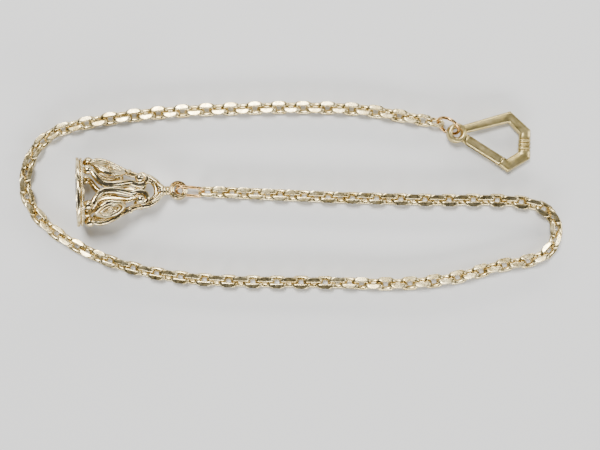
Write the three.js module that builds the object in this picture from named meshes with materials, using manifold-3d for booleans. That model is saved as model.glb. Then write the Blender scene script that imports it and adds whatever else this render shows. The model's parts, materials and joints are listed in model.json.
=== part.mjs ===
// A gentleman's pocket watch chain, laid out on a table in a flattened S: a spring clip, a filed cable
// chain made in runs of three links, and an openwork seal fob lying on its side. Millimetres, +Z up,
// origin under the middle of the laid-out chain, on the table.
import * as THREE from 'three';
import { mergeVertices } from 'three/addons/utils/BufferGeometryUtils.js';
import Module from 'manifold-3d';

const wasm = await Module();
wasm.setup();

// Chain: square wire links, each a quarter turn from the next
const linkPitch = 2.86;
const linkWire = 0.74;
const linkWidth = 3.0;
const linkSlack = 0.24;
const linkLength = linkPitch + linkSlack + 2 * linkWire;
const linkCorner = 0.72;
const linkWeld = 0.32;
const tableGap = 0.02;
const linksPerRun = 3;
const runCount = 39;

// The chain's centre line on the table, from the clip ring to the fob link
const route = [
  [35.75, 17.3], [29.8, 18.3], [24.2, 19.4], [18.5, 20.3], [12.7, 20.8], [4.0, 21.0], [-4.7, 21.0],
  [-13.3, 20.7], [-22.0, 20.4], [-30.7, 19.8], [-39.3, 18.9], [-47.9, 17.5], [-53.5, 16.2],
  [-56.2, 15.2], [-58.7, 13.6], [-60.6, 11.5], [-62.1, 9.0], [-63.0, 6.3], [-63.5, 3.4], [-63.2, 0.6],
  [-62.2, -2.1], [-60.6, -4.6], [-58.7, -6.7], [-54.1, -10.2], [-49.0, -13.1], [-43.7, -15.4],
  [-38.2, -17.1], [-32.6, -18.4], [-24.0, -19.7], [-15.3, -20.3], [-6.6, -20.5], [2.0, -20.6],
  [10.7, -20.7], [19.4, -21.0], [28.1, -20.9], [33.8, -20.4], [39.5, -19.5], [45.1, -18.0],
  [50.7, -16.5], [56.4, -15.6], [59.2, -14.8], [61.6, -13.2], [63.0, -10.7], [63.4, -7.8],
  [62.6, -5.1], [60.6, -3.1], [57.9, -2.0], [52.2, -1.2], [46.4, -1.0], [34.8, -1.0], [23.2, -0.7],
  [11.7, -0.4], [-0.1, 0.1], [-11.5, 0.6], [-20.1, 0.95], [-23.5, 1.1],
];

// Roll of the chain about its own line: [link number, degrees], straight in between
const rollKeys = [
  [0, 5], [28, 5], [33, -5], [38, -25], [43, -20], [48, 5], [60, 8], [64, 12], [70, -20], [80, -22],
  [86, -18], [92, -14], [104, -4], [117, 0],
];

// Clip: flat frame in its own plane, eye at the origin
const clipSpot = [39.3, 14.85, 2.5];
const clipTilt = 4.7;
const eyeHole = 1.0;
const eyeRadius = 2.35;
const eyeHeight = 2.7;
const barWidth = 2.3;
const barHeight = 2.0;
const barBevel = 0.45;
const gatePivot = 3.6;
const gateStart = 2.85;
const gateLength = 12.4;
const gateAngle = -31.5;
const pinRadius = 0.34;
const pinPlay = 0.06;
const lugHalf = 0.42;
const lugHeight = 0.7;
const channelHalf = 0.82;
const channelHeight = 1.1;
const channelEnd = 9.2;

// Jump rings
const ringWire = 0.4;
const clipRingWire = 0.38;
const clipRingRadius = 2.72;
const clipRingSpot = [37.31, 16.57, 2.93];
const clipRingHeading = -33.4;
const clipRingLean = 66.7;
const fobLinkLength = 7.3;
const fobLinkWidth = 3.7;
const fobLinkRoll = 131;
const fobLinkTurn = -2;
const fobLinkSpot = [-24.06, 1.044, 1.827];

// Fob: along its own axis from the seal's face (0) to the ring
const fobHeading = 1.5;
const fobTilt = 14.0;
const fobRoll = -9;
const flangeRadius = 8.1;
const flangeHeight = 1.6;
const plateRadius = 6.7;
const beadCircle = 7.72;
const beadWire = 0.24;
const footCircle = 6.9;
const footAngle = 35;
const ringAlong = 23.6;
const fobRingSpot = [-26.83, 1.25, 2.33];

const degrees = Math.PI / 180;
const gold = { color: 0xc9b074, roughness: 0.28, metalness: 1 };
const clipGold = { color: 0xb8a878, roughness: 0.36, metalness: 1 };
const ringCopper = { color: 0xc08a5a, roughness: 0.3, metalness: 1 };
const steel = { color: 0x9a9ca0, roughness: 0.4, metalness: 1 };

// Brings the middle of the laid-out chain to the origin and its lowest point to the table
const layoutShift = [0.05, 0.07, -0.017];

const watchChain = new THREE.Group();
watchChain.position.set(...layoutShift);

// A closed solid from a three.js geometry, for joining and cutting
function solidOf(geometry) {
  const bare = geometry.clone();
  bare.deleteAttribute('normal');
  bare.deleteAttribute('uv');
  const merged = mergeVertices(bare, 1e-4);
  const mesh = new wasm.Mesh({
    numProp: 3,
    vertProperties: merged.attributes.position.array,
    triVerts: new Uint32Array(merged.index.array),
  });
  return new wasm.Manifold(mesh);
}

function geometryOf(solid) {
  const mesh = solid.getMesh();
  const geometry = new THREE.BufferGeometry();
  geometry.setAttribute('position', new THREE.BufferAttribute(mesh.vertProperties, 3));
  geometry.setIndex(new THREE.BufferAttribute(mesh.triVerts, 1));
  geometry.computeVertexNormals();
  return geometry;
}

function join(...geometries) {
  return geometryOf(geometries.map(solidOf).reduce((whole, next) => whole.add(next)));
}

function cut(geometry, ...tools) {
  return geometryOf(tools.map(solidOf).reduce((whole, tool) => whole.subtract(tool), solidOf(geometry)));
}

function addPiece(group, name, geometry, finish) {
  const mesh = new THREE.Mesh(geometry, new THREE.MeshStandardMaterial(finish));
  mesh.name = name;
  group.add(mesh);
  return mesh;
}

function outline(points) {
  return points.map(([x, y]) => new THREE.Vector2(x, y));
}

// An eight-sided loop outline: a rectangle with its corners cut
function octagon(halfLength, halfWidth, corner) {
  const x = halfLength;
  const y = halfWidth;
  return outline([
    [x, -y + corner], [x, y - corner], [x - corner, y], [-x + corner, y],
    [-x, y - corner], [-x, -y + corner], [-x + corner, -y], [x - corner, -y],
  ]);
}

// A slab of the given height, centred on its own plane
function slab(shape, height, bevel = 0) {
  const geometry = new THREE.ExtrudeGeometry(shape, {
    depth: height - 2 * bevel,
    bevelEnabled: bevel > 0,
    bevelThickness: bevel,
    bevelSize: bevel,
    bevelOffset: -bevel,
    bevelSegments: 1,
    curveSegments: 6,
  });
  return geometry.translate(0, 0, bevel - height / 2);
}

function cylinderZ(radius, height, sides, x = 0, y = 0, z = 0) {
  return new THREE.CylinderGeometry(radius, radius, height, sides).rotateX(90 * degrees).translate(x, y, z);
}

function ball(radius, x, y, z) {
  return new THREE.OctahedronGeometry(radius, 1).translate(x, y, z);
}

// A bar of round section bent through the given points
function bentBar(points, radius, steps, sides = 6) {
  const corners = Array.from({ length: sides }, (_, i) => {
    const turn = (i / sides) * 2 * Math.PI;
    return new THREE.Vector2(radius * Math.cos(turn), radius * Math.sin(turn));
  });
  const path = new THREE.CatmullRomCurve3(points.map((p) => new THREE.Vector3(...p)));
  return new THREE.ExtrudeGeometry(new THREE.Shape(corners), { steps, extrudePath: path });
}

// One link: length along x, width along y. A thick link has its end bars thickened inwards.
function linkGeometry(weld = 0) {
  const shape = new THREE.Shape(octagon(linkLength / 2, linkWidth / 2, linkCorner));
  const hole = octagon(linkLength / 2 - linkWire - weld, linkWidth / 2 - linkWire, linkCorner * 0.5);
  shape.holes.push(new THREE.Path(hole));
  return slab(shape, linkWire);
}

function rollAt(link) {
  const next = rollKeys.findIndex(([at]) => at > link);
  if (next < 0) {
    return rollKeys[rollKeys.length - 1][1];
  }
  const [fromLink, fromRoll] = rollKeys[next - 1];
  const [toLink, toRoll] = rollKeys[next];
  return fromRoll + ((toRoll - fromRoll) * (link - fromLink)) / (toLink - fromLink);
}

function linkRoll(link) {
  return (link % 2 === 0 ? 45 : -45) + rollAt(link);
}

// How far a rolled link reaches below its own line
function linkDepth(link) {
  const roll = linkRoll(link) * degrees;
  return (linkWidth / 2) * Math.abs(Math.sin(roll)) + (linkWire / 2) * Math.abs(Math.cos(roll));
}

// Points where one link bears on the next: equal chords along the route, high enough to clear the table
function contactPoints(count) {
  const curve = new THREE.CatmullRomCurve3(route.map(([x, y]) => new THREE.Vector3(x, y, 0)));
  const fine = curve.getSpacedPoints(12000);
  const points = [fine[0].clone()];
  for (const p of fine) {
    if (points.length < count && p.distanceTo(points[points.length - 1]) >= linkPitch) {
      points.push(p.clone());
    }
  }
  points.forEach((p, i) => {
    const near = [i - 2, i - 1, i, i + 1].map((link) => linkDepth(Math.min(Math.max(link, 0), count - 2)));
    p.z = Math.max(...near) + tableGap;
  });
  return points;
}

// A link's own axes: along the chain, across its width, through its thickness
function linkFrame(from, to, link) {
  const along = to.clone().sub(from).normalize();
  const side = new THREE.Vector3(0, 0, 1).cross(along).normalize();
  const up = along.clone().cross(side);
  const roll = linkRoll(link) * degrees;
  const across = side.clone().multiplyScalar(Math.cos(roll)).addScaledVector(up, Math.sin(roll));
  const through = along.clone().cross(across);
  const middle = from.clone().add(to).multiplyScalar(0.5);
  return new THREE.Matrix4().makeBasis(along, across, through).setPosition(middle);
}

// Three links joined where they cross, placed from the first link's end
function chainRun(contacts, run) {
  const first = run * linksPerRun;
  const group = new THREE.Group();
  linkFrame(contacts[first], contacts[first + 1], first).decompose(group.position, group.quaternion, group.scale);
  group.position.copy(contacts[first]);
  group.updateMatrix();
  const home = group.matrix.clone().invert();
  const links = [];
  for (let i = 0; i < linksPerRun; i += 1) {
    const frame = linkFrame(contacts[first + i], contacts[first + i + 1], first + i);
    links.push(linkGeometry(i === 1 ? linkWeld : 0).applyMatrix4(home.clone().multiply(frame)));
  }
  addPiece(group, `chain_${String(run + 1).padStart(2, '0')}`, join(...links), gold);
  return group;
}

// Clip frame: the bent flat bar from the eye round to the nose
function clipFrameGeometry() {
  const bar = new THREE.Shape(outline([
    [2.35, 2.15], [12.96, 5.3], [17.9, 0.9], [17.8, -6.05], [12.1, -9.35], [11.15, -8.75],
    [10.75, -7.9], [10.75, -6.95], [11.35, -6.25], [12.0, -6.1], [14.95, -4.4], [15.2, -0.15], [12.65, 2.5],
    [2.5, 0.0],
  ]));
  return slab(bar, barHeight, barBevel);
}

// Clip eye: a thick ring with rounded edges, and the lug that carries the gate's pin
function clipEyeGeometry() {
  const half = eyeHeight / 2;
  const profile = outline([
    [eyeHole, -half + 0.6], [eyeHole + 0.35, -half], [eyeRadius - 0.4, -half], [eyeRadius, -half + 0.5],
    [eyeRadius, half - 0.5], [eyeRadius - 0.4, half], [eyeHole + 0.35, half], [eyeHole, half - 0.6],
    [eyeHole, -half + 0.6],
  ]);
  const ring = new THREE.LatheGeometry(profile, 20).rotateX(90 * degrees);
  const lugLength = gatePivot - eyeHole - 0.6;
  const lug = new THREE.BoxGeometry(lugLength, 2 * lugHalf, lugHeight)
    .translate(gatePivot - lugLength / 2, 0, 0);
  const tip = cylinderZ(lugHalf, lugHeight, 16, gatePivot);
  const bore = cylinderZ(pinRadius - 0.12 + pinPlay, 4, 12, gatePivot);
  return cut(join(ring, join(lug, tip).rotateZ(gateAngle * degrees)), bore.rotateZ(gateAngle * degrees));
}

// Gate: a hollow bar along x from its pivot end to the nose
function clipGateGeometry() {
  const half = barWidth / 2;
  const bar = new THREE.Shape(outline([
    [gateStart, -half], [gateLength, -half], [gateLength + 0.3, half], [gateStart, half],
  ]));
  const channel = new THREE.BoxGeometry(channelEnd, 2 * channelHalf, channelHeight).translate(channelEnd / 2, 0, 0);
  const bore = cylinderZ(pinRadius + pinPlay, 4, 12, gatePivot);
  return cut(slab(bar, barHeight, barBevel), channel, bore);
}

function gateSpringGeometry() {
  const leaf = new THREE.Shape(outline([
    [4.4, -0.7], [6.3, -0.55], [8.3, -0.7], [8.3, -0.5], [6.3, -0.32], [4.4, -0.5],
  ]));
  return slab(leaf, 0.7);
}

// Pin: full size in the gate's cheeks, thinner through the lug
function gatePinGeometry() {
  const neck = pinRadius - 0.12;
  const half = barHeight / 2;
  const shoulder = lugHeight / 2 + 0.08;
  const profile = outline([
    [0, -half], [pinRadius, -half], [pinRadius, -shoulder], [neck, -shoulder],
    [neck, shoulder], [pinRadius, shoulder], [pinRadius, half], [0, half],
  ]);
  return new THREE.LatheGeometry(profile, 12).rotateX(90 * degrees);
}

function makeClip() {
  const clip = new THREE.Group();
  clip.position.set(...clipSpot);
  clip.rotation.y = clipTilt * degrees;
  addPiece(clip, 'clip_frame', clipFrameGeometry(), clipGold);
  addPiece(clip, 'clip_eye', clipEyeGeometry(), clipGold);
  const arm = new THREE.Group();
  arm.rotation.z = gateAngle * degrees;
  clip.add(arm);
  addPiece(arm, 'clip_gate', clipGateGeometry(), clipGold);
  addPiece(arm, 'gate_spring', gateSpringGeometry(), steel);
  addPiece(arm, 'gate_pin', gatePinGeometry(), steel).position.x = gatePivot;
  return clip;
}

// Round jump ring: stands nearly on edge, through the eye and round the first link's end
function makeClipRing() {
  const ring = addPiece(new THREE.Group(), 'clip_ring',
    new THREE.TorusGeometry(clipRingRadius, clipRingWire, 6, 16), ringCopper);
  ring.rotation.x = clipRingLean * degrees;
  ring.parent.rotation.z = clipRingHeading * degrees;
  ring.parent.position.set(...clipRingSpot);
  return ring.parent;
}

// Long jump link: a ring pulled out to an oval, on its edge through the fob's ring
function makeFobLink(from, to) {
  const round = fobLinkWidth / 2 - ringWire;
  const stretch = (fobLinkLength - fobLinkWidth) / 2;
  const geometry = new THREE.TorusGeometry(round, ringWire, 6, 12).rotateZ(15 * degrees);
  const position = geometry.attributes.position;
  for (let i = 0; i < position.count; i += 1) {
    position.setX(i, position.getX(i) + Math.sign(position.getX(i)) * stretch);
  }
  const along = to.clone().sub(from).normalize().applyAxisAngle(new THREE.Vector3(0, 0, 1), fobLinkTurn * degrees);
  const side = new THREE.Vector3(0, 0, 1).cross(along).normalize();
  const up = along.clone().cross(side);
  const roll = fobLinkRoll * degrees;
  const across = side.clone().multiplyScalar(Math.cos(roll)).addScaledVector(up, Math.sin(roll));
  const link = addPiece(new THREE.Group(), 'fob_link', geometry, ringCopper);
  link.parent.quaternion.setFromRotationMatrix(
    new THREE.Matrix4().makeBasis(along, across, along.clone().cross(across)));
  link.parent.position.set(...fobLinkSpot);
  return link.parent;
}

// Points of one S-shaped scroll: [across, height over the axis, along the axis]
const scrollPath = [
  [4.05, 5.5, 3.1], [3.3, 5.5, 4.2], [1.55, 5.35, 5.5], [0.62, 5.0, 7.6], [0.62, 4.6, 9.3],
  [1.2, 3.9, 11.3], [2.15, 3.2, 13.3], [2.4, 2.8, 14.6],
];
const scrollRadius = 0.5;
const footRadius = 0.8;
const voluteRadius = 1.0;

// A pair of scrolls that meet in the middle of a face, with ball feet below and volutes above
function scrollPairGeometry() {
  const parts = [];
  for (const side of [1, -1]) {
    parts.push(bentBar(scrollPath.map(([x, y, z]) => [side * x, y, z]), scrollRadius, 12));
    const turn = footAngle * degrees;
    parts.push(ball(footRadius, side * footCircle * Math.sin(turn), footCircle * Math.cos(turn), 2.5));
    parts.push(ball(voluteRadius, side * 2.45, 2.7, 14.9));
  }
  parts.push(ball(0.5, 0, 4.75, 8.5));
  return join(...parts);
}

// Side scroll: a large ball at the foot and the bar that follows the fob's outline
const sidePath = [
  [7.0, 0, 3.4], [7.35, 0, 5.2], [6.75, 0, 7.2], [5.6, 0, 9.4], [4.4, 0, 11.3], [3.7, 0, 13.0], [3.3, 0, 14.2],
];

function sideScrollGeometry(side) {
  return join(
    bentBar(sidePath.map(([x, y, z]) => [side * x, y, z]), 0.48, 10),
    ball(1.1, side * 7.05, 0, 2.95),
    ball(0.55, side * 4.05, 0, 12.1),
  );
}

// Leaf cartouche: an almond loop with a rosette on a cross bar, in its own plane
function cartoucheGeometry() {
  const leaf = (length, width) => {
    const shape = new THREE.Path();
    shape.moveTo(0, -length / 2);
    shape.quadraticCurveTo(width, 0, 0, length / 2);
    shape.quadraticCurveTo(-width, 0, 0, -length / 2);
    return shape.getPoints(4).slice(0, -1);
  };
  const loop = new THREE.Shape(leaf(6.2, 4.4));
  loop.holes.push(new THREE.Path(leaf(4.4, 2.9)));
  const bar = new THREE.BoxGeometry(4.5, 0.5, 0.4);
  return join(slab(loop, 0.7), bar, ball(0.85, 0, 0, 0.2));
}

function addCartouches(fob) {
  const places = { front_right: [1, 1], front_left: [-1, 1], back_right: [1, -1], back_left: [-1, -1] };
  for (const [name, [right, front]] of Object.entries(places)) {
    const out = new THREE.Vector3(right * 0.74, front * 0.6, 0.3).normalize();
    const across = new THREE.Vector3(0, 0, 1).cross(out).normalize();
    const basis = new THREE.Matrix4().makeBasis(across, out.clone().cross(across), out);
    const leaf = addPiece(fob, `cartouche_${name}`, cartoucheGeometry(), gold);
    leaf.quaternion.setFromRotationMatrix(basis);
    leaf.position.set(right * 4.6, front * 3.2, 7.4);
  }
}

// Seal flange: the round base, open in the middle for the seal plate
function flangeGeometry() {
  const inner = plateRadius + 0.1;
  const profile = outline([
    [inner, 0], [flangeRadius - 0.15, 0], [flangeRadius, 0.2], [flangeRadius, 0.6], [7.9, 0.8],
    [7.4, 0.8], [7.4, flangeHeight], [5.9, flangeHeight], [5.9, flangeHeight - 0.4],
    [inner, flangeHeight - 0.4], [inner, 0],
  ]);
  return new THREE.LatheGeometry(profile, 28).rotateX(90 * degrees);
}

// Yoke: an arch with a window, from the volutes to the neck
function yokeGeometry() {
  const arch = new THREE.Shape(outline([
    [-3.5, 14.9], [3.5, 14.9], [3.5, 16.4], [3.0, 17.7], [2.0, 18.9], [1.05, 19.6],
    [-1.05, 19.6], [-2.0, 18.9], [-3.0, 17.7], [-3.5, 16.4],
  ]));
  const window = new THREE.Path();
  window.absellipse(0, 16.7, 2.05, 1.45, 0, 2 * Math.PI, true);
  arch.holes.push(new THREE.Path(window.getPoints(4).slice(0, -1)));
  return slab(arch, 1.5).rotateX(90 * degrees);
}

function neckGeometry() {
  const profile = outline([
    [0, 19.7], [0.95, 19.7], [1.15, 20.0], [0.85, 20.3], [1.1, 20.6], [0.85, 20.9], [1.0, 21.15], [0, 21.15],
  ]);
  return new THREE.LatheGeometry(profile, 12).rotateX(90 * degrees);
}

function fobRingGeometry() {
  const profile = outline([
    [0.97, -0.3], [1.3, -0.75], [1.8, -0.75], [2.3, -0.35], [2.3, 0.35], [1.8, 0.75], [1.3, 0.75], [0.97, 0.3],
    [0.97, -0.3],
  ]);
  return new THREE.LatheGeometry(profile, 18).translate(0, 0, ringAlong);
}

// The fob's own frame: x across, y towards the front, z along the axis to the ring
function makeFob() {
  const fob = new THREE.Group();
  const turned = new THREE.Matrix4().makeRotationZ(fobHeading * degrees)
    .multiply(new THREE.Matrix4().makeRotationY((90 + fobTilt) * degrees))
    .multiply(new THREE.Matrix4().makeRotationZ((90 + fobRoll) * degrees));
  fob.quaternion.setFromRotationMatrix(turned);
  const ringOffset = new THREE.Vector3(0, 0, ringAlong).applyQuaternion(fob.quaternion);
  fob.position.set(...fobRingSpot).sub(ringOffset);
  addPiece(fob, 'seal_flange', flangeGeometry(), gold);
  addPiece(fob, 'seal_plate', cylinderZ(plateRadius, 0.9, 24, 0, 0, 0.6), gold);
  addPiece(fob, 'bead_ring', new THREE.TorusGeometry(beadCircle, beadWire, 6, 28), gold)
    .position.z = 1.15;
  addPiece(fob, 'scroll_front', scrollPairGeometry(), gold);
  addPiece(fob, 'scroll_back', scrollPairGeometry(), gold).rotation.z = Math.PI;
  addPiece(fob, 'side_scroll_right', sideScrollGeometry(1), gold);
  addPiece(fob, 'side_scroll_left', sideScrollGeometry(-1), gold);
  addCartouches(fob);
  addPiece(fob, 'fob_yoke', yokeGeometry(), gold);
  addPiece(fob, 'fob_neck', neckGeometry(), gold);
  addPiece(fob, 'fob_ring', fobRingGeometry(), gold);
  return fob;
}

const linkCount = runCount * linksPerRun;
const contacts = contactPoints(linkCount + 1);
for (let run = 0; run < runCount; run += 1) {
  watchChain.add(chainRun(contacts, run));
}
const fob = makeFob();
watchChain.add(makeClip(), makeClipRing(), fob);
watchChain.add(makeFobLink(contacts[linkCount], new THREE.Vector3(...fobRingSpot)));

export default watchChain;
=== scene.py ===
import json
import math

import bpy
import numpy as np
from mathutils import Matrix, Vector


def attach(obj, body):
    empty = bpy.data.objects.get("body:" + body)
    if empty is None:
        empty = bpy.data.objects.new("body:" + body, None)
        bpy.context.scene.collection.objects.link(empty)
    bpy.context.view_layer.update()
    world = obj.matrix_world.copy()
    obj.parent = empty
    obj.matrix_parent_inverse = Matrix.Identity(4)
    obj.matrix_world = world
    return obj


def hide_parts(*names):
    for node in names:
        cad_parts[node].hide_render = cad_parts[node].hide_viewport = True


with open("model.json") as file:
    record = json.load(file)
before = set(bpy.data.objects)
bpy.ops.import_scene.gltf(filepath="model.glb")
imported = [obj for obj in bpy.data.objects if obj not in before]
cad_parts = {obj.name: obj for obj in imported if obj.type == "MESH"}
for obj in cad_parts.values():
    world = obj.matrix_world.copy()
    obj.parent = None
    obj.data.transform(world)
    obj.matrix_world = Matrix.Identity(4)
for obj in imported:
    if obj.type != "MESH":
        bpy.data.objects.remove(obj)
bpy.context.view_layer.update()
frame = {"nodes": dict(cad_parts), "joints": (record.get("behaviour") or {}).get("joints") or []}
millimetre = 0.001
layoutShift = np.array([0.05, 0.07, -0.017])


# shape helpers that several pieces use
def unit(vectors):
    return vectors / np.linalg.norm(vectors, axis=-1, keepdims=True)


def smoothCurve(points, count):
    # centripetal spline through the points: a cubic c0 + c1 w + c2 w^2 + c3 w^3 on each span
    p = np.array(points, float)
    p = np.vstack([2 * p[0] - p[1], p, 2 * p[-1] - p[-2]])
    t = np.linspace(0, len(points) - 1, count) if np.isscalar(count) else np.asarray(count)
    i = np.minimum(t.astype(int), len(points) - 2)
    w = (t - i)[:, None]
    p0, p1, p2, p3 = p[i], p[i + 1], p[i + 2], p[i + 3]
    d0, d1, d2 = (np.linalg.norm(b - a, axis=1, keepdims=True) ** 0.5
                  for a, b in ((p0, p1), (p1, p2), (p2, p3)))
    start = ((p1 - p0) / d0 - (p2 - p0) / (d0 + d1) + (p2 - p1) / d1) * d1
    end = ((p2 - p1) / d1 - (p3 - p1) / (d1 + d2) + (p3 - p2) / d2) * d1
    c2 = -3 * p1 + 3 * p2 - 2 * start - end
    c3 = 2 * p1 - 2 * p2 + start + end
    return p1 + start * w + c2 * w ** 2 + c3 * w ** 3


def roundOutline(count, halfWidth=1.0, halfHeight=1.0, power=2.0):
    # superellipse: (halfWidth |cos a|^(2/power), halfHeight |sin a|^(2/power)) with the signs kept
    a = (np.arange(count) + 0.5) / count * 2 * np.pi
    c, s = np.cos(a), np.sin(a)
    return np.stack([halfWidth * np.sign(c) * np.abs(c) ** (2 / power),
                     halfHeight * np.sign(s) * np.abs(s) ** (2 / power)], axis=1)


def sweep(centres, outline, up, radius=1.0, loop=False):
    # section point = centre + radius (outline x side + outline y up'), with up' square to the path
    if loop:
        tangent = np.roll(centres, -1, 0) - np.roll(centres, 1, 0)
    else:
        tangent = np.gradient(centres, axis=0)
    tangent = unit(tangent)
    side = unit(np.cross(np.broadcast_to(up, tangent.shape), tangent))
    top = np.cross(tangent, side)
    radius = np.broadcast_to(np.asarray(radius, float), len(centres))[:, None, None]
    outline = np.broadcast_to(outline, (len(centres),) + np.shape(outline)[-2:])
    return centres[:, None] + radius * (outline[..., :1] * side[:, None] + outline[..., 1:] * top[:, None])


def lathe(profile, count, wobble=None):
    # closed profile (radius, height) turned round z
    profile = np.array(profile, float)
    turn = np.arange(count) / count * 2 * np.pi
    r = np.broadcast_to(profile[:, 0], (count, len(profile)))
    r = r if wobble is None else r + wobble(turn[:, None], profile[None])
    return np.stack([r * np.cos(turn)[:, None], r * np.sin(turn)[:, None],
                     np.broadcast_to(profile[None, :, 1], r.shape)], axis=2)


def ball(centre, radius, rows=9, around=14):
    # (radius sin b cos a, radius sin b sin a, radius cos b), its poles closed by the fans at the ends
    b = (np.arange(rows) + 0.35) / (rows - 0.3) * np.pi
    a = np.arange(around) / around * 2 * np.pi
    rings = np.stack([np.sin(b)[:, None] * np.cos(a), np.sin(b)[:, None] * np.sin(a),
                      np.broadcast_to(np.cos(b)[:, None], (rows, around))], axis=2)
    return np.asarray(centre) + radius * rings


def skin(rings, loop):
    # quads between neighbouring sections, and a fan onto the middle of each open end
    n, m = rings.shape[:2]
    corner = np.arange(n * m).reshape(n, m)
    following = np.roll(corner, -1, 0) if loop else corner[1:]
    current = corner if loop else corner[:-1]
    quads = np.stack([current, np.roll(current, -1, 1), np.roll(following, -1, 1), following], axis=-1)
    vertices = rings.reshape(-1, 3)
    triangles = np.zeros((0, 3), int)
    if not loop:
        vertices = np.vstack([vertices, rings[0].mean(0), rings[-1].mean(0)])
        first, last = corner[0], corner[-1]
        triangles = np.vstack([
            np.stack([np.roll(first, -1), first, np.full(m, n * m)], axis=1),
            np.stack([last, np.roll(last, -1), np.full(m, n * m + 1)], axis=1)])
    quads = quads.reshape(-1, 4)
    faces = np.vstack([triangles, quads[:, [0, 1, 2]], quads[:, [0, 2, 3]]])
    a, b, c = (vertices[faces[:, k]] for k in range(3))
    if np.einsum("ij,ij->", a, np.cross(b, c)) < 0:
        quads, triangles = quads[:, ::-1], triangles[:, ::-1]
    return vertices, quads, triangles


def addPiece(name, parts, place, body, nodes, material, sharpness=40):
    # parts: sections as an array, or (sections, True) where the last section joins the first
    vertices, faces, total = [], [], 0
    for part in parts:
        rings, loop = part if isinstance(part, tuple) else (part, False)
        points, quads, triangles = skin(rings, loop)
        vertices.append(points)
        faces += (quads + total).tolist() + (triangles + total).tolist()
        total += len(points)
    mesh = bpy.data.meshes.new(name)
    mesh.from_pydata((place(np.vstack(vertices)) * millimetre).tolist(), [], faces)
    mesh.shade_smooth()
    mesh.set_sharp_from_angle(angle=math.radians(sharpness))
    mesh.materials.append(material)
    piece = bpy.data.objects.new(name, mesh)
    bpy.context.scene.collection.objects.link(piece)
    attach(piece, body)
    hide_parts(*nodes)
    return piece


def turnAbout(axis, angle):
    return np.array(Matrix.Rotation(math.radians(angle), 3, axis))


# the finishes: one node tree, a settings dictionary for each metal
def metal(name, look):
    # two tints mixed by a cloudy pattern, fine scratches and pits in the bump, patchy roughness
    material = bpy.data.materials.new(name)
    material.use_nodes = True
    tree = material.node_tree
    shader = tree.nodes["Principled BSDF"]
    place = tree.nodes.new("ShaderNodeTexCoord").outputs["Object"]

    def noise(scale, detail, stretch):
        mapping = tree.nodes.new("ShaderNodeMapping")
        mapping.inputs["Scale"].default_value = stretch
        tree.links.new(place, mapping.inputs["Vector"])
        texture = tree.nodes.new("ShaderNodeTexNoise")
        texture.inputs["Scale"].default_value = scale
        texture.inputs["Detail"].default_value = detail
        texture.inputs["Roughness"].default_value = 0.6
        tree.links.new(mapping.outputs["Vector"], texture.inputs["Vector"])
        return texture.outputs["Fac"]

    def between(source, low, high, fromLow=0.3, fromHigh=0.7):
        span = tree.nodes.new("ShaderNodeMapRange")
        span.inputs["From Min"].default_value = fromLow
        span.inputs["From Max"].default_value = fromHigh
        span.inputs["To Min"].default_value = low
        span.inputs["To Max"].default_value = high
        tree.links.new(source, span.inputs["Value"])
        return span.outputs["Result"]

    tint = tree.nodes.new("ShaderNodeValToRGB")
    tint.color_ramp.elements[0].position = 0.32
    tint.color_ramp.elements[0].color = (*look["deep"], 1)
    tint.color_ramp.elements[1].position = 0.66
    tint.color_ramp.elements[1].color = (*look["pale"], 1)
    tree.links.new(noise(look["cloud"], 5, (1, 1, 1)), tint.inputs["Fac"])
    tree.links.new(tint.outputs["Color"], shader.inputs["Base Color"])
    patches = noise(look["patch"], 4, (1, 1, 1))
    tree.links.new(between(patches, *look["roughness"]), shader.inputs["Roughness"])
    scratches = tree.nodes.new("ShaderNodeBump")
    scratches.inputs["Strength"].default_value = look["scratches"]
    scratches.inputs["Distance"].default_value = 0.00003
    tree.links.new(noise(look["fine"], 3, look["stretch"]), scratches.inputs["Height"])
    pits = tree.nodes.new("ShaderNodeBump")
    pits.inputs["Strength"].default_value = look["pits"]
    pits.inputs["Distance"].default_value = 0.00006
    tree.links.new(noise(look["patch"] * 2.3, 2, (1, 1, 1)), pits.inputs["Height"])
    tree.links.new(scratches.outputs["Normal"], pits.inputs["Normal"])
    tree.links.new(pits.outputs["Normal"], shader.inputs["Normal"])
    shader.inputs["Metallic"].default_value = 1.0
    return material


chainGold = metal("chain_gold", {
    "deep": (0.48, 0.35, 0.13), "pale": (0.83, 0.71, 0.42), "cloud": 420, "patch": 1300, "fine": 900,
    "stretch": (1, 1, 5), "roughness": (0.20, 0.38), "scratches": 0.25, "pits": 0.15})
clipGold = metal("clip_gold", {
    "deep": (0.43, 0.33, 0.12), "pale": (0.66, 0.54, 0.26), "cloud": 300, "patch": 900, "fine": 1500,
    "stretch": (1, 4, 1), "roughness": (0.28, 0.46), "scratches": 0.3, "pits": 0.2})
fobGold = metal("fob_gold", {
    "deep": (0.45, 0.32, 0.12), "pale": (0.86, 0.75, 0.48), "cloud": 500, "patch": 1500, "fine": 1800,
    "stretch": (1, 1, 2), "roughness": (0.12, 0.26), "scratches": 0.15, "pits": 0.3})
ringCopper = metal("ring_copper", {
    "deep": (0.50, 0.28, 0.09), "pale": (0.76, 0.51, 0.24), "cloud": 500, "patch": 1200, "fine": 1500,
    "stretch": (1, 1, 3), "roughness": (0.16, 0.30), "scratches": 0.2, "pits": 0.15})
springSteel = metal("spring_steel", {
    "deep": (0.40, 0.41, 0.43), "pale": (0.66, 0.67, 0.69), "cloud": 600, "patch": 1500, "fine": 2500,
    "stretch": (6, 1, 1), "roughness": (0.26, 0.42), "scratches": 0.3, "pits": 0.1})
print("finishes ready")


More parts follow.
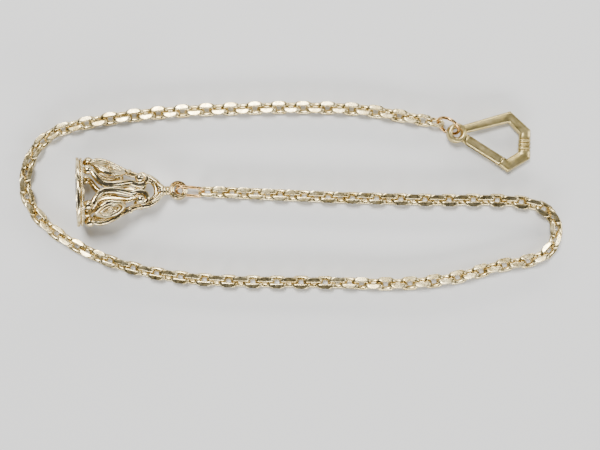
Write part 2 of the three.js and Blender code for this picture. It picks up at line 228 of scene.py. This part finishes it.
# the chain: 117 links on 39 bodies
link = {
    "pitch": 2.86, "endWire": 0.49, "sideWire": 0.69, "sideDepth": 0.04, "slimEnd": 0.42, "slimSide": 0.54,
    "halfLength": 1.94, "halfWidth": 1.3, "power": 2.0, "filedEnd": 2.38, "filedFace": 1.24,
    "roundFace": 1.34, "softness": 28, "steps": 48, "around": 20, "perRun": 3, "runs": 39,
    "barWidth": 3.0, "barWire": 0.74, "tableGap": 0.02, "samples": 12000, "divisions": 200}

route = [
    [35.75, 17.3], [29.8, 18.3], [24.2, 19.4], [18.5, 20.3], [12.7, 20.8], [4.0, 21.0], [-4.7, 21.0],
    [-13.3, 20.7], [-22.0, 20.4], [-30.7, 19.8], [-39.3, 18.9], [-47.9, 17.5], [-53.5, 16.2],
    [-56.2, 15.2], [-58.7, 13.6], [-60.6, 11.5], [-62.1, 9.0], [-63.0, 6.3], [-63.5, 3.4], [-63.2, 0.6],
    [-62.2, -2.1], [-60.6, -4.6], [-58.7, -6.7], [-54.1, -10.2], [-49.0, -13.1], [-43.7, -15.4],
    [-38.2, -17.1], [-32.6, -18.4], [-24.0, -19.7], [-15.3, -20.3], [-6.6, -20.5], [2.0, -20.6],
    [10.7, -20.7], [19.4, -21.0], [28.1, -20.9], [33.8, -20.4], [39.5, -19.5], [45.1, -18.0],
    [50.7, -16.5], [56.4, -15.6], [59.2, -14.8], [61.6, -13.2], [63.0, -10.7], [63.4, -7.8],
    [62.6, -5.1], [60.6, -3.1], [57.9, -2.0], [52.2, -1.2], [46.4, -1.0], [34.8, -1.0], [23.2, -0.7],
    [11.7, -0.4], [-0.1, 0.1], [-11.5, 0.6], [-20.1, 0.95], [-23.5, 1.1]]

rollKeys = [
    [0, 5], [28, 5], [33, -5], [38, -25], [43, -20], [48, 5], [60, 8], [64, 12], [70, -20], [80, -22],
    [86, -18], [92, -14], [104, -4], [117, 0]]


def linkRoll(number):
    keys = np.array(rollKeys, float)
    return np.where(number % 2 == 0, 45, -45) + np.interp(number, keys[:, 0], keys[:, 1])


def contactPoints():
    # equal chords of one pitch marched along evenly spaced points of the route
    count = link["perRun"] * link["runs"] + 1
    spans = len(route) - 1
    coarse = smoothCurve(route, np.linspace(0, spans, link["divisions"] + 1))
    lengths = np.concatenate([[0], np.cumsum(np.linalg.norm(np.diff(coarse, axis=0), axis=1))])
    wanted = np.linspace(0, lengths[-1], link["samples"] + 1)
    fine = smoothCurve(route, np.interp(wanted, lengths, np.linspace(0, spans, link["divisions"] + 1)))
    chosen = [0]
    while len(chosen) < count:
        ahead = fine[chosen[-1]:chosen[-1] + 200]
        far = np.linalg.norm(ahead - ahead[0], axis=1) >= link["pitch"]
        chosen.append(chosen[-1] + int(np.argmax(far)))
    numbers = np.arange(count)
    roll = np.radians(linkRoll(np.minimum(numbers, count - 2)))
    depth = link["barWidth"] / 2 * np.abs(np.sin(roll)) + link["barWire"] / 2 * np.abs(np.cos(roll))
    near = np.clip(numbers[:, None] + np.array([-2, -1, 0, 1]), 0, count - 2)
    height = depth[near].max(1) + link["tableGap"]
    return np.column_stack([fine[chosen], height]) + layoutShift


def linkFrames(contacts):
    along = unit(np.diff(contacts, axis=0))
    side = unit(np.cross([0, 0, 1], along))
    up = np.cross(along, side)
    roll = np.radians(linkRoll(np.arange(len(along))))[:, None]
    across = side * np.cos(roll) + up * np.sin(roll)
    return (contacts[1:] + contacts[:-1]) / 2, along, across, np.cross(along, across)


def softLimit(values, limit, sharpness):
    # a smooth minimum on both sides: the filed flat
    top = -np.log(np.exp(-sharpness * values) + np.exp(-sharpness * limit)) / sharpness
    return np.where(values > 0, top,
                    np.log(np.exp(sharpness * values) + np.exp(-sharpness * limit)) / sharpness)


def linkLoop(endWire, sideWire, limits):
    # superellipse centre line; the wire swells from its ends to its sides with the sine
    a = np.arange(link["steps"]) / link["steps"] * 2 * np.pi
    c, s = np.cos(a), np.sin(a)
    e = 2 / link["power"]
    centre = np.stack([link["halfLength"] * np.sign(c) * np.abs(c) ** e,
                       link["halfWidth"] * np.sign(s) * np.abs(s) ** e, 0 * a], axis=1)
    thick = endWire + (sideWire - endWire) * np.abs(s)
    rings = sweep(centre, roundOutline(link["around"]), [0, 0, 1.0], thick, loop=True)
    rings[..., 2] *= 1 + link["sideDepth"] * s[:, None] ** 2
    rings[..., 0] = softLimit(rings[..., 0], link["filedEnd"], link["softness"])
    # the chain is filed above and below, which is along one diagonal of a link's section
    a = softLimit((rings[..., 1] + rings[..., 2]) * math.sqrt(0.5), limits[0], link["softness"])
    b = softLimit((rings[..., 1] - rings[..., 2]) * math.sqrt(0.5), limits[1], link["softness"])
    rings[..., 1] = (a + b) * math.sqrt(0.5)
    rings[..., 2] = (a - b) * math.sqrt(0.5)
    return rings


contacts = contactPoints()
middles, alongs, acrosses, throughs = linkFrames(contacts)
lastLink = link["perRun"] * link["runs"] - 1
faces = [link["filedFace"], link["roundFace"]]
# a link's neighbour is turned a quarter, so it is filed along its other diagonal
fullLinks = [linkLoop(link["endWire"], link["sideWire"], limits) for limits in (faces, faces[::-1])]
slimLinks = [linkLoop(link["slimEnd"], link["slimSide"], [link["filedFace"]] * 2)] * 2
for run in range(link["runs"]):
    name = f"chain_{run + 1:02d}"
    loops = []
    for number in range(run * link["perRun"], (run + 1) * link["perRun"]):
        axes = np.stack([alongs[number], acrosses[number], throughs[number]])
        shapes = slimLinks if number in (0, 1, lastLink) else fullLinks
        loops.append((shapes[number % 2] @ axes + middles[number], True))
    addPiece(f"links_{run + 1:02d}", loops, lambda points: points, name, [name], chainGold, 55)
hinges = {joint["name"]: np.array(joint["pos_m"]) / millimetre for joint in frame["joints"]}
lastHinge = hinges[f"link_joint_{link['runs']:02d}"]
print("links ready, last hinge off by", np.linalg.norm(lastHinge - contacts[lastLink - 2]).round(4))


# the spring clip, in its own plane with the eye at the origin
clip = {
    "spot": [39.3, 14.85, 2.5], "tilt": 4.7, "gateAngle": -31.5, "height": 1.0, "power": 2.8,
    "outer": [
        [1.3, 1.84], [12.96, 5.3], [17.9, 0.9], [17.87, -1.1], [17.83, -4.0], [17.8, -6.05],
        [12.35, -9.25], [10.16, -7.57]],
    "inner": [
        [1.5, -0.22], [12.65, 2.5], [15.2, -0.15], [15.14, -1.1], [14.97, -4.0], [14.95, -4.4],
        [12.2, -6.1], [11.36, -5.61]],
    "bandTop": -1.2, "bandBottom": -3.9, "bandCount": 3, "bandRise": 0.42, "bandDepth": 0.32,
    "eyeRadius": 2.4, "eyeHole": 1.0, "eyeHeight": 1.36, "eyeGroove": 0.2, "pivot": 3.6, "heel": 1.13,
    "heelGap": 0.06, "forkHalf": 1.05, "forkBack": 2.15, "forkHeight": 0.92, "gateEnd": 12.5,
    "gateHalf": 1.15}


def toClip(points):
    turned = np.asarray(points) @ turnAbout("Y", clip["tilt"]).T
    return turned + np.array(clip["spot"]) + layoutShift


def toArm(points):
    return toClip(np.asarray(points) @ turnAbout("Z", clip["gateAngle"]).T)


def frameBar():
    # sections between matching inner and outer corners, so each corner is a true mitre; the far end
    # is rounded off over its last few sections
    outer, inner = (np.array(clip[side], float) for side in ("outer", "inner"))
    steps = [np.linspace(i, i + 1, 91 if i == 3 else 7)[:-1] for i in range(len(outer) - 1)]
    last = len(outer) - 1
    t = np.concatenate(steps + [[last - 0.06, last - 0.02, last]])
    knots = np.arange(len(outer))
    edge = np.stack([np.interp(t, knots, outer[:, k]) for k in range(2)], axis=1)
    back = np.stack([np.interp(t, knots, inner[:, k]) for k in range(2)], axis=1)
    middle, half = (edge + back) / 2, (edge - back) / 2
    scale = np.ones(len(t))
    scale[-2:] = 0.97, 0.88
    place = (clip["bandTop"] - middle[:, 1]) / (clip["bandTop"] - clip["bandBottom"])
    banded = (place > -0.04) & (place < 1.04) & (middle[:, 0] > 15)
    waves = np.abs(np.sin(np.pi * place * clip["bandCount"])) ** 0.6
    bands = np.where(banded, clip["bandRise"] * waves - clip["bandDepth"], 0)
    outline = roundOutline(28, power=clip["power"])
    flat = np.column_stack([half * ((1 + 0.4 * bands) * scale)[:, None], np.zeros(len(half))])
    rise = (clip["height"] * (1 + bands) * scale)[:, None] * np.array([[0, 0, 1.0]])
    centre = np.column_stack([middle, np.zeros(len(middle))])
    return centre[:, None] + outline[None, :, :1] * flat[:, None] + outline[None, :, 1:] * rise[:, None]


def gateBar():
    # a straight bar with a heel rounded about its pivot: x_start = pivot - sqrt(heel^2 - y^2)
    share = np.concatenate([[0, 0.004, 0.015], np.linspace(0.05, 0.97, 14), [0.99, 1.0]])
    grow = np.concatenate([[0.86, 0.95, 0.99], np.ones(14), [0.97, 0.88]])
    outline = roundOutline(28, clip["gateHalf"], clip["height"], clip["power"])
    y = grow[:, None] * outline[None, :, 0]
    z = grow[:, None] * outline[None, :, 1]
    start = clip["pivot"] - np.sqrt(clip["heel"] ** 2 - y ** 2)
    return np.stack([start + (clip["gateEnd"] - start) * share[:, None], y, z], axis=2)


def heelFork():
    # fills the two corners between the eye and the gate's heel, section by section across the arm
    y = np.linspace(-clip["forkHalf"], clip["forkHalf"], 23)
    left = np.sqrt(clip["forkBack"] ** 2 - y ** 2)
    right = clip["pivot"] - np.sqrt((clip["heel"] + clip["heelGap"]) ** 2 - y ** 2)
    level = clip["forkHeight"] * np.sqrt(1 - (y / 1.3) ** 2)
    outline = roundOutline(16, power=3.5)
    x = ((left + right) / 2)[:, None] + ((right - left) / 2)[:, None] * outline[:, 0]
    return np.stack([x, np.broadcast_to(y[:, None], x.shape), level[:, None] * outline[:, 1]], axis=2)


def eyeRing():
    # rounded ring, r = middle + half width |cos|^0.75, with a groove round its waist
    a = np.arange(32) / 32 * 2 * np.pi
    half = (clip["eyeRadius"] - clip["eyeHole"]) / 2
    r = clip["eyeHole"] + half + half * np.sign(np.cos(a)) * np.abs(np.cos(a)) ** 0.75
    z = clip["eyeHeight"] * np.sign(np.sin(a)) * np.abs(np.sin(a)) ** 0.85
    r = r - clip["eyeGroove"] * np.exp(-(z / 0.16) ** 2) * (np.cos(a) > 0.5)
    return lathe(np.stack([r, z], axis=1), 64)


addPiece("clip_bar", [frameBar()], toClip, "clip", ["clip_frame"], clipGold, 32)
armTurn = turnAbout("Z", clip["gateAngle"]).T
addPiece("clip_grommet", [(eyeRing(), True), heelFork() @ armTurn], toClip, "clip", ["clip_eye"],
         clipGold, 50)
addPiece("clip_arm", [gateBar()], toArm, "gate", ["clip_gate"], clipGold, 50)
frame["nodes"]["gate_spring"].data.materials.clear()
frame["nodes"]["gate_spring"].data.materials.append(springSteel)
frame["nodes"]["gate_pin"].data.materials.clear()
frame["nodes"]["gate_pin"].data.materials.append(clipGold)
print("clip ready")


# the round jump ring at the clip and the long one at the fob
rings = {
    "wire": 0.38, "radius": 2.72, "spot": [37.31, 16.57, 2.93], "heading": -33.4, "lean": 66.7,
    "ovalWire": 0.38, "ovalRound": 1.45, "ovalStretch": 1.8, "ovalSpot": [-24.06, 1.044, 1.827],
    "ovalRoll": 131, "ovalTurn": -2, "fobRing": [-26.83, 1.25, 2.33]}


def toRing(points):
    turned = points @ turnAbout("X", rings["lean"]).T @ turnAbout("Z", rings["heading"]).T
    return turned + np.array(rings["spot"]) + layoutShift


def toOval(points):
    along = unit(np.array(rings["fobRing"]) + layoutShift - contacts[-1])
    along = turnAbout("Z", rings["ovalTurn"]) @ along
    side = unit(np.cross([0, 0, 1], along))
    up = np.cross(along, side)
    roll = math.radians(rings["ovalRoll"])
    across = side * math.cos(roll) + up * math.sin(roll)
    return points @ np.stack([along, across, np.cross(along, across)]) + rings["ovalSpot"] + layoutShift


def roundRing():
    a = np.arange(64) / 64 * 2 * np.pi
    centre = rings["radius"] * np.stack([np.cos(a), np.sin(a), 0 * a], axis=1)
    return sweep(centre, roundOutline(16), [0, 0, 1.0], rings["wire"], loop=True)


def ovalRing():
    # a ring pulled out: x = r cos a + stretch tanh(8 cos a)
    a = np.arange(72) / 72 * 2 * np.pi
    x = rings["ovalRound"] * np.cos(a) + rings["ovalStretch"] * np.tanh(8 * np.cos(a))
    centre = np.stack([x, rings["ovalRound"] * np.sin(a), 0 * a], axis=1)
    return sweep(centre, roundOutline(16), [0, 0, 1.0], rings["ovalWire"], loop=True)


addPiece("jump_ring", [(roundRing(), True)], toRing, "clip_ring", ["clip_ring"], ringCopper)
addPiece("oval_link", [(ovalRing(), True)], toOval, "fob_link", ["fob_link"], ringCopper)
print("jump rings ready")


# the seal fob, upright along z from its flat face, then laid on its side
fob = {
    "heading": 1.5, "tilt": 14.0, "roll": -9, "ringAlong": 23.6,
    "flange": [
        [6.8, 0.1], [6.85, 0.0], [7.9, 0.0], [8.02, 0.04], [8.1, 0.18], [8.1, 0.5], [8.04, 0.64],
        [7.92, 0.72], [7.5, 0.76], [7.42, 0.84], [7.4, 1.45], [7.32, 1.57], [7.2, 1.6], [6.1, 1.6],
        [5.95, 1.55], [5.9, 1.42], [5.9, 1.24], [5.98, 1.2], [6.75, 1.2], [6.8, 1.16]],
    "plate": [[0.02, 0.15], [6.4, 0.15], [6.66, 0.19], [6.7, 0.28], [6.7, 1.05], [0.02, 1.05]],
    "beadCircle": 7.72, "beadHeight": 1.15, "beadCount": 80,
    "scroll": [
        [4.15, 5.35, 2.7], [3.75, 5.55, 3.4], [2.35, 5.6, 4.35], [1.05, 5.4, 5.6], [0.64, 5.1, 7.4],
        [0.8, 4.7, 9.3], [1.15, 4.2, 11.1], [1.3, 3.85, 12.2], [0.98, 3.6, 13.3], [0.8, 3.45, 14.5],
        [1.35, 3.35, 15.7], [2.5, 3.25, 16.0], [3.35, 3.1, 15.3], [3.5, 3.0, 14.5]],
    "volute": [2.5, 3.3, 14.4], "voluteBall": 1.12, "foot": [4.05, 5.55, 2.5], "footBall": 1.12,
    "side": [
        [6.9, 0, 3.6], [7.25, 0, 4.8], [7.15, 0, 6.1], [6.5, 0, 7.8], [5.6, 0, 9.5], [4.8, 0, 11.0],
        [4.1, 0, 12.6], [3.7, 0, 14.0], [3.4, 0, 15.0]],
    "sideBalls": [
        [4.75, 0, 12.3, 0.58], [4.2, 0.95, 12.0, 0.42], [4.2, -0.95, 12.0, 0.42],
        [5.6, 0.6, 10.3, 0.36], [5.6, -0.6, 10.3, 0.36], [3.9, 0, 13.9, 0.5]],
    "leafSpot": [4.6, 3.2, 7.4], "leafFacing": [0.74, 0.6, 0.3], "leafLength": 3.3, "leafWidth": 1.95,
    "leafWire": 0.62, "foldWire": 0.34, "barWire": 0.26, "spineWire": 0.18, "petal": 0.36, "knob": 0.5,
    "scrollThick": [[0, 0.6], [0.12, 0.68], [0.33, 0.86], [0.55, 0.7], [0.75, 0.62], [1, 0.42]],
    "sideThick": [0.7, 0.9, 0.62], "sideFoot": [7.0, 0, 2.9], "sideFootBall": 1.25,
    "window": [2.3, 1.95, 16.5], "windowWire": 0.56, "yokeThick": [0.8, 0.74],
    "yoke": [
        [3.5, 0, 14.9], [3.45, 0, 15.8], [3.05, 0, 17.1], [2.2, 0, 18.3], [1.25, 0, 19.1],
        [0.6, 0, 19.9]],
    "neck": [19.4, 21.5], "neckRadius": 0.92, "neckRib": 0.16, "neckPitch": 0.7,
    "ringBore": 0.97, "ringWide": 1.33, "ringHalf": 0.56, "ringRidge": 0.17}


def fobAxes():
    laid = turnAbout("Y", 90 + fob["tilt"]) @ turnAbout("Z", 90 + fob["roll"])
    return turnAbout("Z", fob["heading"]) @ laid


def toFob(points):
    start = np.array(rings["fobRing"]) + layoutShift - fobAxes() @ np.array([0, 0, fob["ringAlong"]])
    return points @ fobAxes().T + start


def toFobBack(points):
    return toFob(points * np.array([-1.0, -1.0, 1.0]))


def beadWire():
    # a ring whose wire swells and pinches: radius = 0.12 + 0.15 |cos(count a / 2)|^0.7
    a = np.arange(fob["beadCount"] * 6) / (fob["beadCount"] * 6) * 2 * np.pi
    centre = np.stack([fob["beadCircle"] * np.cos(a), fob["beadCircle"] * np.sin(a),
                       np.full(len(a), fob["beadHeight"])], axis=1)
    radius = 0.12 + 0.15 * np.abs(np.cos(fob["beadCount"] / 2 * a)) ** 0.7
    return sweep(centre, roundOutline(8), [0, 0, 1.0], radius, loop=True)


def taper(count, start, middle, end):
    # smooth swell along a bar: start and end thickness, fuller in the middle
    t = np.linspace(0, 1, count)
    return start * (1 - t) ** 2 + 2 * middle * t * (1 - t) + end * t ** 2


def scrollArm(side):
    # foot, S-curve and the curl round the volute in one bar, thickest where the two scrolls meet
    count = 84
    path = smoothCurve(np.array(fob["scroll"]) * [side, 1, 1], count)
    t = np.linspace(0, 1, count)
    thick = np.interp(t, *np.array(fob["scrollThick"]).T)
    return sweep(path, roundOutline(16, 1.0, 0.85, 2.5), [0, 1.0, 0.2], thick)


def scrollPair():
    parts = []
    for side in (1, -1):
        mirror = np.array([side, 1, 1])
        parts += [scrollArm(side), ball(np.array(fob["foot"]) * mirror, fob["footBall"], 12, 20),
                  ball(np.array(fob["volute"]) * mirror, fob["voluteBall"], 12, 20)]
    parts.append(ball([0, 4.85, 8.2], 0.5))
    return parts


def sideScroll(side):
    mirror = np.array([side, 1, 1])
    path = smoothCurve(np.array(fob["side"]) * mirror, 40)
    parts = [sweep(path, roundOutline(14, 1.0, 0.95, 2.4), [0, 1.0, 0], taper(40, *fob["sideThick"])),
             ball(np.array(fob["sideFoot"]) * mirror, fob["sideFootBall"], 14, 24)]
    for x, y, z, radius in fob["sideBalls"]:
        parts.append(ball(np.array([x, y, z]) * mirror, radius))
    return parts


def leafPlace(right, front):
    out = unit(np.array(fob["leafFacing"]) * [right, front, 1])
    across = unit(np.cross([0, 0, 1.0], out))
    axes = np.stack([across, np.cross(out, across), out])
    spot = np.array(fob["leafSpot"]) * [right, front, 1]
    return lambda points: toFob(points @ axes + spot)


def almond(length, width, count=56):
    # two arcs meeting in points: y = length sin a, x = width cos a |cos a|^0.35
    a = np.arange(count) / count * 2 * np.pi
    return np.stack([width * np.cos(a) * np.abs(np.cos(a)) ** 0.35, length * np.sin(a), 0 * a], axis=1)


def leafParts():
    outline = roundOutline(12)
    upright = [0, 0, 1.0]
    edge = almond(fob["leafLength"], fob["leafWidth"])
    fold = almond(fob["leafLength"] * 0.66, fob["leafWidth"] * 0.6) + [0, 0, 0.22]
    outer = sweep(edge, outline, upright, fob["leafWire"], loop=True)
    inner = sweep(fold, outline, upright, fob["foldWire"], loop=True)
    across = np.array([[-1.7, 0, 0], [-0.9, 0, 0.05], [0.9, 0, 0.05], [1.7, 0, 0]])
    along = np.array([[0, -2.7, 0], [0, -1, 0.1], [0, 1, 0.1], [0, 2.7, 0]])
    bar = sweep(across, outline, upright, fob["barWire"])
    spine = sweep(along, outline, upright, fob["spineWire"])
    turn = np.arange(6) / 6 * 2 * np.pi
    petals = [ball([0.5 * math.cos(a), 0.5 * math.sin(a), 0.4], fob["petal"], 7, 10) for a in turn]
    return [(outer, True), (inner, True), bar, spine, ball([0, 0, 0.7], fob["knob"])] + petals


def yokeParts():
    # a round window ring and two grained arms that close onto the neck:
    # arm thickness times (1 + 0.09 sin(5 a + s) sin s) round and along the bar
    a = np.arange(48) / 48 * 2 * np.pi
    wide, tall, level = fob["window"]
    window = np.stack([wide * np.cos(a), 0 * a, level + tall * np.sin(a)], axis=1)
    ring = sweep(window, roundOutline(14, 1.0, 1.3), [0, 1.0, 0], fob["windowWire"], loop=True)
    parts = [(ring, True)]
    around = (np.arange(20) + 0.5) / 20 * 2 * np.pi
    s = np.linspace(0, 26 * np.pi, 150)[:, None]
    grain = 1 + 0.09 * np.sin(5 * around + s) * np.sin(s)
    outline = roundOutline(20, 1.0, 1.15) * grain[..., None]
    for side in (1, -1):
        path = smoothCurve(np.array(fob["yoke"]) * [side, 1, 1], len(s))
        parts.append(sweep(path, outline, [0, 1.0, 0], np.linspace(*fob["yokeThick"], len(s))))
    return parts


def neckParts():
    # a collar with ribs: r = radius + rib |sin|^0.7 along it, and twelve shallow flutes round it
    foot, head = fob["neck"]
    z = np.linspace(foot, head, 43)
    ribs = np.abs(np.sin((z - foot) / fob["neckPitch"] * np.pi)) ** 0.7
    r = fob["neckRadius"] + fob["neckRib"] * ribs
    profile = np.concatenate([[[0.02, foot]], np.stack([r, z], axis=1), [[0.02, head]]])
    grain = lambda turn, outline: 0.05 * np.sin(12 * turn) * (outline[..., 0] > 0.5)
    return [(lathe(profile, 48, grain), True)]


def ringParts():
    # concentric ridges on both faces: half height = (half + ridge |sin|^0.7) across the ring's width,
    # drawn in at its inner and outer edge
    t = np.linspace(0, 1, 31)
    r = fob["ringBore"] + t * fob["ringWide"]
    ridges = np.abs(np.sin(t * 3 * np.pi)) ** 0.7
    edges = np.clip(np.minimum(t, 1 - t) * 9, 0.35, 1) ** 0.4
    h = (fob["ringHalf"] + fob["ringRidge"] * ridges) * edges
    profile = np.concatenate([np.stack([r, h], axis=1), np.stack([r, -h], axis=1)[::-1]])[::-1]
    turned = lathe(profile, 72)
    return [(np.stack([turned[..., 0], turned[..., 2], turned[..., 1] + fob["ringAlong"]], axis=2), True)]


addPiece("base_flange", [(lathe(fob["flange"], 120), True)], toFob, "fob", ["seal_flange"], fobGold)
addPiece("base_plate", [(lathe(fob["plate"], 96), True)], toFob, "fob", ["seal_plate"], fobGold)
addPiece("base_beads", [(beadWire(), True)], toFob, "fob", ["bead_ring"], fobGold, 80)
addPiece("front_scrolls", scrollPair(), toFob, "fob", ["scroll_front"], fobGold)
addPiece("back_scrolls", scrollPair(), toFobBack, "fob", ["scroll_back"], fobGold)
addPiece("right_scroll", sideScroll(1), toFob, "fob", ["side_scroll_right"], fobGold)
addPiece("left_scroll", sideScroll(-1), toFob, "fob", ["side_scroll_left"], fobGold)
for sides in ("front_right", "front_left", "back_right", "back_left"):
    place = leafPlace(1 if "right" in sides else -1, 1 if "front" in sides else -1)
    addPiece(f"leaf_{sides}", leafParts(), place, "fob", [f"cartouche_{sides}"], fobGold)
addPiece("yoke_window", yokeParts(), toFob, "fob", ["fob_yoke"], fobGold, 60)
addPiece("neck_knurl", neckParts(), toFob, "fob", ["fob_neck"], fobGold, 60)
addPiece("ridged_ring", ringParts(), toFob, "fob", ["fob_ring"], fobGold, 60)
print("fob ready")


# floor, light and camera
studio = {
    "floor": (0.80, 0.80, 0.79), "world": (0.50, 0.51, 0.54), "worldStrength": 0.12,
    "viewCentre": [2.2, -6.9], "viewHeight": 236, "viewWidth": 144, "camera": "overhead",
    "softboxes": {
        "key": ((-0.12, 0.30, 0.75), (0.26, 0.26), 8.5, (1, 1, 1)),
        "front": ((0.05, -0.75, 0.28), (1.0, 0.16), 9.0, (1, 1, 1)),
        "back": ((0.0, 0.80, 0.30), (1.0, 0.12), 6.0, (1.0, 0.97, 0.92)),
        "side": ((0.8, 0.05, 0.35), (0.16, 0.6), 3.5, (1, 1, 1))}}


def makeFloor():
    mesh = bpy.data.meshes.new("floor")
    mesh.from_pydata([[-1, -1, 0], [1, -1, 0], [1, 1, 0], [-1, 1, 0]], [], [[0, 1, 2, 3]])
    floor = bpy.data.objects.new("floor", mesh)
    bpy.context.scene.collection.objects.link(floor)
    material = bpy.data.materials.new("floor_paper")
    material.use_nodes = True
    shader = material.node_tree.nodes["Principled BSDF"]
    shader.inputs["Base Color"].default_value = (*studio["floor"], 1)
    shader.inputs["Roughness"].default_value = 0.9
    mesh.materials.append(material)


def addSoftbox(name, spot, size, energy, tint):
    light = bpy.data.lights.new(name, "AREA")
    light.shape = "RECTANGLE"
    light.size, light.size_y = size
    light.energy = energy
    light.color = tint
    lamp = bpy.data.objects.new(name, light)
    bpy.context.scene.collection.objects.link(lamp)
    lamp.location = spot
    lamp.rotation_euler = (-Vector(spot)).to_track_quat("-Z", "Y").to_euler()


def addCamera():
    data = bpy.data.cameras.new(studio["camera"])
    data.sensor_fit = "HORIZONTAL"
    data.angle = 2 * math.atan(studio["viewWidth"] / 2 / studio["viewHeight"])
    camera = bpy.data.objects.new(studio["camera"], data)
    bpy.context.scene.collection.objects.link(camera)
    x, y = studio["viewCentre"]
    camera.location = np.array([x, y, studio["viewHeight"]]) * millimetre
    bpy.context.scene.camera = camera


world = bpy.data.worlds.new("studio")
world.use_nodes = True
world.node_tree.nodes["Background"].inputs["Color"].default_value = (*studio["world"], 1)
world.node_tree.nodes["Background"].inputs["Strength"].default_value = studio["worldStrength"]
bpy.context.scene.world = world
makeFloor()
addCamera()
for name, settings in studio["softboxes"].items():
    addSoftbox(name, *settings)
print("studio ready")
